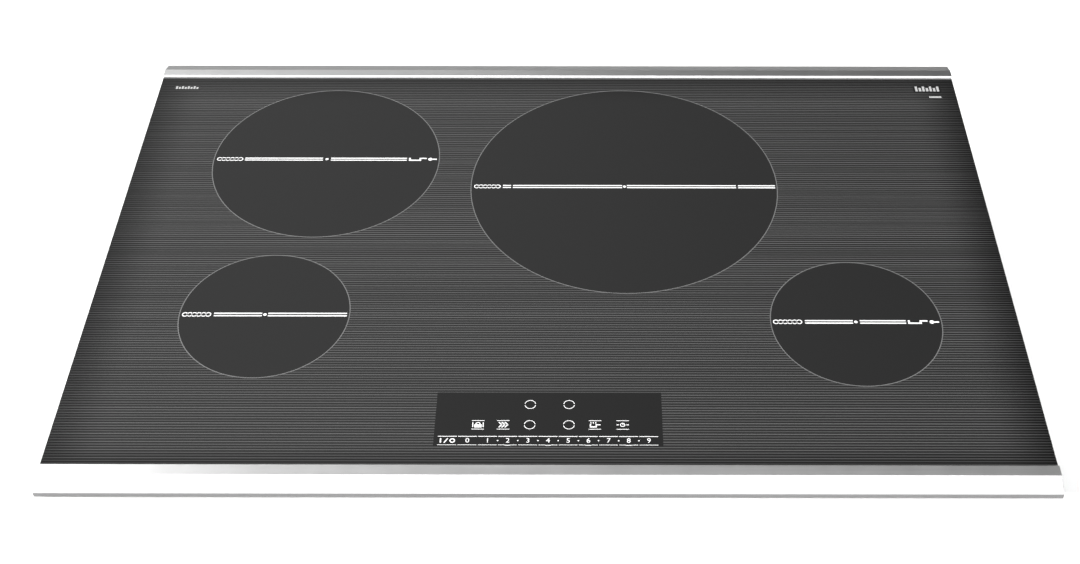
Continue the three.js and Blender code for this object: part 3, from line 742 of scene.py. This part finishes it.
def swept(bm, points, radius, fine=2):
    """A round bar of this radius along a line of points."""
    curve = bpy.data.curves.new("wire", "CURVE")
    curve.dimensions = "3D"
    line = curve.splines.new("POLY")
    line.points.add(len(points) - 1)
    for knot, point in zip(line.points, points):
        knot.co = (*point, 1)
    curve.bevel_depth = radius
    curve.bevel_resolution = fine
    curve.use_fill_caps = True
    rod = bpy.data.objects.new("wire", curve)
    scene.collection.objects.link(rod)
    bpy.context.view_layer.update()
    mesh = bpy.data.meshes.new_from_object(rod.evaluated_get(bpy.context.evaluated_depsgraph_get()))
    known = set(bm.verts)
    bm.from_mesh(mesh)
    bpy.data.objects.remove(rod)
    bpy.data.meshes.remove(mesh)
    bmesh.ops.remove_doubles(bm, verts=added_since(bm, known), dist=1e-4)


for corner in CORNERS:
    node = f"{corner}_spring_clip"
    low, high = box_of(node)
    side = 1 if corner.startswith("right") else -1
    shape = eased(cad_shape(node), 0.12, 2, 50)
    for offset in (-5, 5):
        # a rib runs up the leaf, which leans out of the wall
        foot = Vector((side * 362.6, (low.y + high.y) / 2 + offset, 33))
        swept(shape, [foot, foot + Vector((side * 3.1, 0, 24))], 0.7)
    new_piece(f"{corner}_leaf_clip", shape, spring_steel, f"{corner}_clip", replaces=[node])

# ------------------------------------------------------------------------------------------------
# Coil plate. A folded table of mill-finish aluminium over the electronics. It carries the coils
# and has windows for air and for the mains cable.
# ------------------------------------------------------------------------------------------------
aluminium = Finish("mill_aluminium", (0.72, 0.73, 0.74), 0.4, 1.0).grained(
    (40, 1400, 1400), 0.12, 0.16, 0.01 * MM, 3.0, 0.6,
)
softened("folded_coil_plate", "coil_plate", aluminium, 0.5, 3)

# ------------------------------------------------------------------------------------------------
# Coil units. Each has an aluminium base with guide studs, a star of pressed ferrite bars, a flat
# winding of twisted copper litz, a ceramic-fibre mat with a trimmed edge and a sprung sensor.
# ------------------------------------------------------------------------------------------------
LITZ = 3.1  # diameter of the wire, which lies turn against turn
WINDINGS = {  # each zone's windings, with their inner and outer radius
    "left_rear": {"left_rear_winding": (20, 96)},
    "right_rear": {"right_rear_winding": (20, 94), "right_rear_outer_winding": (103, 131)},
    "left_front": {"left_front_winding": (18, 62)},
    "right_front": {"right_front_winding": (18, 62)},
}
ferrite = Finish("pressed_ferrite", (0.045, 0.045, 0.05), 0.6).grained(
    (800, 800, 800), 0.3, 0.15, 0.04 * MM, 4.0, 0.6,
)
copper = Finish(
    "enamelled_copper", (0.66, 0.27, 0.12), 0.36, 1.0, Coat__Weight=0.5, Coat__Roughness=0.2,
).grained((1100, 1100, 300), 0.35, 0.2, 0.12 * MM)
fibre = Finish("ceramic_fibre", (0.82, 0.8, 0.74), 0.95).grained(
    (260, 1600, 900), 0.12, 0.05, 0.3 * MM, 5.0, 0.7,
)
silicone = Finish("white_silicone", (0.8, 0.79, 0.76), 0.55).grained((300, 300, 300), 0.04, 0.1, 0.01 * MM)


def flat_spiral(across, back, level, inner, outer):
    """The path of the litz, from the winding's inner edge to its outer one."""
    turns = (outer - inner - LITZ) / (LITZ + 0.05)
    steps = int(turns * 44)
    points = []
    for step in range(steps + 1):
        angle = 2 * math.pi * turns * step / steps
        radius = inner + LITZ / 2 + (outer - inner - LITZ) * step / steps
        points.append((across + radius * math.cos(angle), back + radius * math.sin(angle), level))
    return points


def fibre_mat(across, back, low, high):
    """A disc of felt with a hole for the sensor and its edges trimmed off."""
    bm = bmesh.new()
    hole, reach = 9.5, (high.x - low.x) / 2
    foot = [(hole, low.z + 0.4), (hole + 0.4, low.z), (reach - 0.6, low.z), (reach, low.z + 0.6)]
    top = [(reach, high.z - 0.6), (reach - 0.6, high.z), (hole + 0.4, high.z), (hole, high.z - 0.4)]
    turned(bm, foot + top, (across, back, 0), 96)
    return bm


def heat_sensor(across, back, low, high):
    """A flanged foot, a neck with a bead round it, and a flared cap that touches the glass."""
    bm = bmesh.new()
    flange = [(10.2, 0), (10.5, 0.3), (10.5, 1.2), (10.2, 1.5), (6.4, 1.5), (6, 2)]
    foot = [(0, low.z), *((radius, low.z + height) for radius, height in flange)]
    bead = [(6, 5.4), (6.7, 5), (6, 4.6)]
    flare = [(6, 3.6), (7.6, 2.2), (8, 1.6), (8, 0.3), (7.7, 0), (0, 0)]
    cap = [(radius, high.z - depth) for radius, depth in bead + flare]
    turned(bm, foot + cap, (across, back, 0), 40)
    return bm


SPRING = {"wire": 0.9, "radius": 15, "coils": 3.5, "steps": 112}


def wire_spring(across, back, low, high):
    """The open spring of round wire that presses a coil unit up against the glass."""
    bm = bmesh.new()
    wire, steps = SPRING["wire"], SPRING["steps"]
    section = bmesh.ops.create_circle(bm, cap_ends=True, segments=10, radius=wire)["verts"]
    upright = Matrix.Rotation(math.radians(90), 3, "X")
    bmesh.ops.rotate(bm, cent=(0, 0, 0), matrix=upright, verts=section)
    bmesh.ops.translate(bm, vec=(across + SPRING["radius"], back, low.z + wire), verts=section)
    climb = (high.z - low.z - 2 * wire) / steps
    bmesh.ops.spin(
        bm, geom=list(bm.verts) + list(bm.edges) + list(bm.faces), cent=(across, back, 0), axis=(0, 0, 1),
        dvec=(0, 0, climb), angle=2 * math.pi * SPRING["coils"], steps=steps, use_duplicate=False,
    )
    bmesh.ops.recalc_face_normals(bm, faces=bm.faces)
    return bm


for zone, windings in WINDINGS.items():
    across, back = ZONES[zone][:2]
    unit = f"{zone}_coil_unit"
    base, ferrites, mat = f"{zone}_coil_base", f"{zone}_ferrites", f"{zone}_mat"
    softened(f"{zone}_base", base, aluminium, 0.3, 2, 40, unit)
    softened(f"{zone}_ferrite_star", ferrites, ferrite, 0.5, 2, 40, unit)
    for node, (inner, outer) in windings.items():
        low, high = box_of(node)
        litz = bmesh.new()
        swept(litz, flat_spiral(across, back, (low.z + high.z) / 2, inner, outer), LITZ / 2)
        new_piece(f"{node}_litz", litz, copper, unit, 60, [node])
    felt = fibre_mat(across, back, *box_of(mat))
    new_piece(f"{zone}_fibre_mat", felt, fibre, unit, replaces=[mat])
    sensor = heat_sensor(across, back, *box_of(f"{zone}_sensor"))
    new_piece(f"{zone}_heat_sensor", sensor, silicone, unit, replaces=[f"{zone}_sensor"])
    shape = wire_spring(across, back, *box_of(f"{zone}_spring"))
    spring = new_piece(
        f"{zone}_wire_spring", shape, spring_steel, smooth=60,
        replaces=[f"{zone}_spring"],
    )
    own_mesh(spring)

# ------------------------------------------------------------------------------------------------
# Blowers. Glass-filled nylon scroll housings with screwed lids, and impellers with curved blades
# that turn on the motor's shaft.
# ------------------------------------------------------------------------------------------------
BLOWERS = {"left": (-222, -92), "right": (222, -92)}
moulding = Finish("black_moulding", (0.022, 0.022, 0.024), 0.5).grained(
    (1100, 1100, 1100), 0.25, 0.14, 0.03 * MM, 3.0, 0.6,
)


def fan_wheel(centre):
    """A hub cup with a disc at its rim, forward-curved blades and the ring that ties their other ends."""
    bm = bmesh.new()
    cup_outside = [(3, 11), (18.2, 11), (19, 11.8), (19, 25)]
    disc = [(43.5, 25), (44, 25.4), (44, 26.2), (43.5, 26.5)]
    cup_inside = [(17.4, 26.5), (16.5, 25.6), (16.5, 13), (3, 13)]
    ring = [(40.2, 6), (43.8, 6), (44, 6.2), (44, 7.3), (43.8, 7.5), (40.2, 7.5), (40, 7.3), (40, 6.2)]
    turned(bm, cup_outside + disc + cup_inside, (*centre, 0), 64)
    turned(bm, ring, (*centre, 0), 64)
    blades = 36
    for blade in range(blades):
        known = set(bm.verts)
        # a short arc of strip, 1.1 mm thick
        turned(bm, [(5.6, 6.6), (6.7, 6.6), (6.7, 25.2), (5.6, 25.2)], (37.2, 0, 0), 5, -58, 108)
        made = added_since(bm, known)
        spin = Matrix.Rotation(2 * math.pi * blade / blades, 3, "Z")
        bmesh.ops.rotate(bm, cent=(0, 0, 0), matrix=spin, verts=made)
        bmesh.ops.translate(bm, vec=(*centre, 0), verts=made)
    return bm


def add_bosses_and_ribs(bm, centre, top):
    """Four screw bosses near the lid's edge and eight stiffening ribs round its middle."""
    for angle in (100, 170, 240, 310):
        place = Vector((*centre, top)) + Matrix.Rotation(math.radians(angle), 3, "Z") @ Vector((46, 0, 0))
        turned(bm, [(0, -0.5), (4, -0.5), (4, 0.6), (3.6, 1), (0, 1)], place, 20)
    for rib in range(8):
        made = block(bm, (14, -0.6, top - 0.4), (40, 0.6, top + 0.9))
        turn = Matrix.Rotation(math.radians(45 * rib + 20), 3, "Z")
        bmesh.ops.rotate(bm, cent=(0, 0, 0), matrix=turn, verts=made)
        bmesh.ops.translate(bm, vec=(*centre, 0), verts=made)


for side, centre in BLOWERS.items():
    for part in ("housing", "lid"):
        node = f"{side}_blower_{part}"
        shape = eased(cad_shape(node), 0.35, 2, 40)
        if part == "lid":
            add_bosses_and_ribs(shape, centre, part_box(node)[1].z / MM)
        new_piece(f"{node}_moulding", shape, moulding, replaces=[node])
    wheel, impeller = fan_wheel(centre), f"{side}_impeller"
    new_piece(f"{side}_fan_wheel", wheel, moulding, f"{side}_fan", 40, [impeller])

# ------------------------------------------------------------------------------------------------
# Power boards. Each side has a plastic tray and a green board with its finned heatsink, film and
# electrolytic capacitors, relays, chips, connectors and two ring chokes, soldered in rows.
# ------------------------------------------------------------------------------------------------
mask = Finish("solder_mask", (0.016, 0.1, 0.045), 0.34, Coat__Weight=0.3)
board_green = mask.varied(mask.flakes((420, 120, 300)), 0.3, 0.12, 0.02 * MM)
extruded = Finish("extruded_aluminium", (0.62, 0.63, 0.65), 0.45, 1.0).grained(
    (1600, 25, 1600), 0.15, 0.2, 0.02 * MM, 3.0,
)
film_case = Finish("grey_film_case", (0.33, 0.35, 0.38), 0.5).grained(
    (500, 500, 500), 0.08, 0.1, 0.01 * MM, 3.0,
)
sleeve = Finish("capacitor_sleeve", (0.02, 0.03, 0.06), 0.3).grained((200, 200, 200), 0.2, 0.1)
white_nylon = Finish("white_nylon", (0.78, 0.77, 0.72), 0.5).grained((400, 400, 400), 0.05, 0.1)

# Where the parts stand, from the board's middle: [x, y, width, depth, height], for the round cans
# [x, y, radius, height] and for the chokes [x, y].
FILM_CASES = [(-84, 62, 42, 22, 34), (-36, 62, 42, 22, 34), (-84, 34, 42, 20, 32), (-92, -58, 26, 14, 22)]
RELAYS = [(-30, 30, 28, 13, 16), (-30, 12, 28, 13, 16), (92, 66, 28, 13, 16), (92, 48, 28, 13, 16)]
CHIPS = [
    (-60, -10, 14, 14, 2.2), (-86, -12, 10, 7, 1.8), (-30, -16, 9, 6, 1.8), (88, -8, 12, 8, 2),
    (-8, -60, 6, 5, 1.6),
]
CONNECTORS = [(-104, 4, 8, 30, 11), (104, -50, 8, 26, 11), (-60, -80, 30, 8, 11), (0, 80, 22, 8, 11)]
CANS = [(-40, -46, 11, 30), (-64, -46, 11, 30), (86, 22, 9, 26), (-4, -34, 6, 14), (-4, -48, 6, 14)]
CHOKES = [(88, -72), (-94, -78)]
PIN_PITCH = 3.6


def top_of(board):
    """The middle of the board's upper face."""
    low, high = box_of(board)
    return Vector(((low.x + high.x) / 2, (low.y + high.y) / 2, high.z))


def mounted(parts, origin, ease):
    """Boxes with eased edges, standing on a board whose middle is at origin."""
    bm = bmesh.new()
    for x, y, width, depth, height in parts:
        known = set(bm.verts)
        made = block(bm, (x - width / 2, y - depth / 2, 0.1), (x + width / 2, y + depth / 2, height))
        rounded(bm, list({e for v in made for e in v.link_edges}), ease, 2)
        bmesh.ops.translate(bm, vec=origin, verts=added_since(bm, known))
    return bm


def fit_pins(bm, origin, connector):
    """Opens the connector's top and stands a row of square pins in it."""
    x, y, width, depth, height = connector
    middle = Vector((origin.x + x, origin.y + y))
    top = [f for f in bm.faces if f.normal.z > 0.9 and (f.calc_center_median().xy - middle).length < 1]
    bmesh.ops.inset_region(bm, faces=top, thickness=0.7)
    bmesh.ops.translate(bm, vec=(0, 0, 2.5 - height), verts=list({v for f in top for v in f.verts}))
    pins = int(max(width, depth) / 4)
    for pin in range(pins):
        step = (pin - (pins - 1) / 2) * PIN_PITCH
        foot = Vector((*middle, origin.z)) + Vector((step, 0, 0) if width > depth else (0, step, 0))
        block(bm, foot + Vector((-0.4, -0.4, 1)), foot + Vector((0.4, 0.4, height - 1.5)))


def wound(place, ring, wide, tall, turns, steps, start, sweep):
    """The path of a wire wound round a ring: so wide and so tall of the ring's own middle line."""
    path = []
    for step in range(turns * steps + 1):
        around = math.radians(start + sweep * step / (turns * steps))
        twist = 2 * math.pi * step / steps
        reach = ring + wide * math.cos(twist)
        height = tall * math.sin(twist)
        path.append(place + Vector((reach * math.cos(around), reach * math.sin(around), height)))
    return path


for side in BLOWERS:
    tray, board, sink = f"{side}_board_tray", f"{side}_power_board", f"{side}_heatsink"
    softened(f"{tray}_moulding", tray, moulding, 0.5)
    softened(f"{board}_laminate", board, board_green, 0.2)
    softened(f"{sink}_extrusion", sink, extruded, 0.25, 2, 50)
    origin = top_of(board)
    films = mounted(FILM_CASES, origin, 0.8)
    new_piece(f"{side}_film_capacitors", films, film_case)
    new_piece(f"{side}_relays", mounted(RELAYS, origin, 0.6), moulding)
    new_piece(f"{side}_chips", mounted(CHIPS, origin, 0.25), moulding)
    connectors = mounted(CONNECTORS, origin, 0.5)
    for connector in CONNECTORS:
        fit_pins(connectors, origin, connector)
    new_piece(f"{side}_connectors", connectors, white_nylon)
    cans = bmesh.new()
    for x, y, radius, height in CANS:
        foot = [(0, 0.1), (radius - 0.5, 0.1), (radius, 0.7), (radius, 2), (radius - 0.7, 2.8), (radius, 3.6)]
        rim = [(radius, height - 0.8), (radius - 0.8, height), (0.8 * radius, height)]
        vent = [(0.8 * radius, height - 0.4), (0, height - 0.4)]
        turned(cans, foot + rim + vent, origin + Vector((x, y, 0)), 32)
    new_piece(f"{side}_electrolytics", cans, sleeve)
    cores, wire = bmesh.new(), bmesh.new()
    for x, y in CHOKES:
        place = origin + Vector((x, y, 0))
        core = [(5, 1), (5.6, 0.5), (10.4, 0.5), (11, 1), (11, 8), (10.4, 8.5), (5.6, 8.5), (5, 8)]
        turned(cores, core, place, 32)
        path = wound(place + Vector((0, 0, 4.9)), 8, 4, 4.5, turns=16, steps=14, start=20, sweep=320)
        swept(wire, path, 0.65, fine=1)
    new_piece(f"{side}_choke_cores", cores, ferrite)
    new_piece(f"{side}_choke_wire", wire, copper, smooth=60)

# ------------------------------------------------------------------------------------------------
# Mains filter. A small board at the rear with a line choke, a safety capacitor and the terminal
# block that the mains cable is screwed into.
# ------------------------------------------------------------------------------------------------
FILTER_CASES = [(-52, 22, 27, 16, 26), (-52, 2, 27, 12, 20), (-46, -26, 18, 8, 14), (44, -24, 20, 10, 16)]
TERMINAL_SCREWS = Vector((42, 10, 11))  # the middle of their row, from the board's top
TERMINAL_PITCH = 11
softened("filter_laminate", "filter_board", board_green, 0.2)
origin = top_of("filter_board")
new_piece("filter_capacitors", mounted(FILTER_CASES, origin, 0.7), film_case)
core, wire = bmesh.new(), bmesh.new()
place = origin + Vector((-8, 4, 0))
turned(core, [(9, 2), (10, 1), (18, 1), (19, 2), (19, 15), (18, 16), (10, 16), (9, 15)], place, 48)
for half in (0, 180):
    path = wound(place + Vector((0, 0, 9.4)), 14, 6.2, 8.7, turns=11, steps=16, start=half + 25, sweep=130)
    swept(wire, path, 1.1)
new_piece("line_choke_core", core, ferrite)
new_piece("line_choke_wire", wire, copper, smooth=60)
softened("terminal_block_moulding", "terminal_block", white_nylon, 0.4, 2, 50)
clamps = bmesh.new()
for way in (-1.5, -0.5, 0.5, 1.5):
    seat = origin + TERMINAL_SCREWS + Vector((TERMINAL_PITCH * way, 0, 0))
    turned(clamps, [(0, 0), (3, 0), (3, 3), (2.6, 3.4), (0, 3.4)], seat, 20)
    block(clamps, seat + Vector((-2.4, -0.35, 3.3)), seat + Vector((2.4, 0.35, 3.9)))
new_piece("terminal_screws", clamps, screw_steel)

# ------------------------------------------------------------------------------------------------
# Junction cover and cable gland. A zinc plate with four screws closes the wiring opening in the
# rear wall. The gland in it has a six-sided flange, a ribbed dome nut and a lock nut inside.
# ------------------------------------------------------------------------------------------------
softened("junction_plate", "junction_cover", zinc, 0.25)
low, high = box_of("junction_cover")
plate_screws = bmesh.new()
for x in (low.x + 4.4, high.x - 4.4):
    for z in (low.z + 4.6, high.z - 4.6):
        screw(plate_screws, (x, high.y, z), (0, 1, 0), head=3.3, height=1.9, shank=1.5, length=4)
new_piece("junction_screws", plate_screws, screw_steel)

gland_low, gland_high = box_of("cable_gland")
gland_middle = (gland_low + gland_high) / 2
gland_nylon = Finish("gland_nylon", (0.03, 0.031, 0.033), 0.45).grained(
    (700, 700, 700), 0.2, 0.15, 0.02 * MM, 3.0,
)
gland = bmesh.new()
thread, pitch = [(8, -16), (10.2, -16)], 1.7
for crest in range(9):
    thread += [(11, -15.4 + pitch * crest), (10.2, -14.6 + pitch * crest)]
flange = [(11, 0.3), (15, 0.3), (15, 1.0), (14.6, 3.0), (12.6, 3.4)]
dome_nut = [(12.4, 4.4), (11.2, 5.8), (10.6, 6), (8.4, 6), (8, 5.6)]
turned(gland, thread + flange + dome_nut, steps=48)
for flat in range(6):
    made = block(gland, (-7.2, 11.5, 0.5), (7.2, 13.2, 3.3))
    turn = Matrix.Rotation(math.radians(60 * flat), 3, "Z")
    bmesh.ops.rotate(gland, cent=(0, 0, 0), matrix=turn, verts=made)
lock_nut = [(11.2, -6.2), (14.6, -6.2), (15, -5.8), (15, -2.9), (14.6, -2.5), (11.2, -2.5)]
turned(gland, lock_nut, steps=6)
backward = Matrix.Rotation(math.radians(-90), 3, "X")
bmesh.ops.rotate(gland, cent=(0, 0, 0), matrix=backward, verts=gland.verts)
seat = (gland_middle.x, gland_high.y - 6, gland_middle.z)
bmesh.ops.translate(gland, vec=seat, verts=gland.verts)
new_piece("gland", gland, gland_nylon, replaces=["cable_gland"])

# ------------------------------------------------------------------------------------------------
# Touch control. A plastic frame holds the board up under the glass. Light diodes on the board shine
# up through the openings of the clear guide, under the rings and the power scale.
# ------------------------------------------------------------------------------------------------
softened("touch_frame", "control_frame", moulding, 0.4, 2, 40)
softened("touch_board", "control_board", board_green, 0.2)
guide = Finish("clear_guide", (0.86, 0.88, 0.88), 0.3).grained((500, 500, 500), 0.04, 0.2, 0.01 * MM)
softened("light_guide", "display_light_guide", guide, 0.25, 2, 50)
board_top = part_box("control_board")[1].z / MM
diodes = bmesh.new()
for x, y in INDICATORS:
    block(diodes, (x - 1.6, y - 0.9, board_top), (x + 1.6, y + 0.9, board_top + 0.9))
for segment in range(SCALE["segments"]):
    x = SCALE["left"] + SCALE["pitch"] * (segment + 0.5) - 0.5
    front, rear = SCALE["middle"] - 0.8, SCALE["middle"] + 0.8
    block(diodes, (x - 1.4, front, board_top), (x + 1.4, rear, board_top + 0.9))
new_piece("light_diodes", diodes, white_nylon)
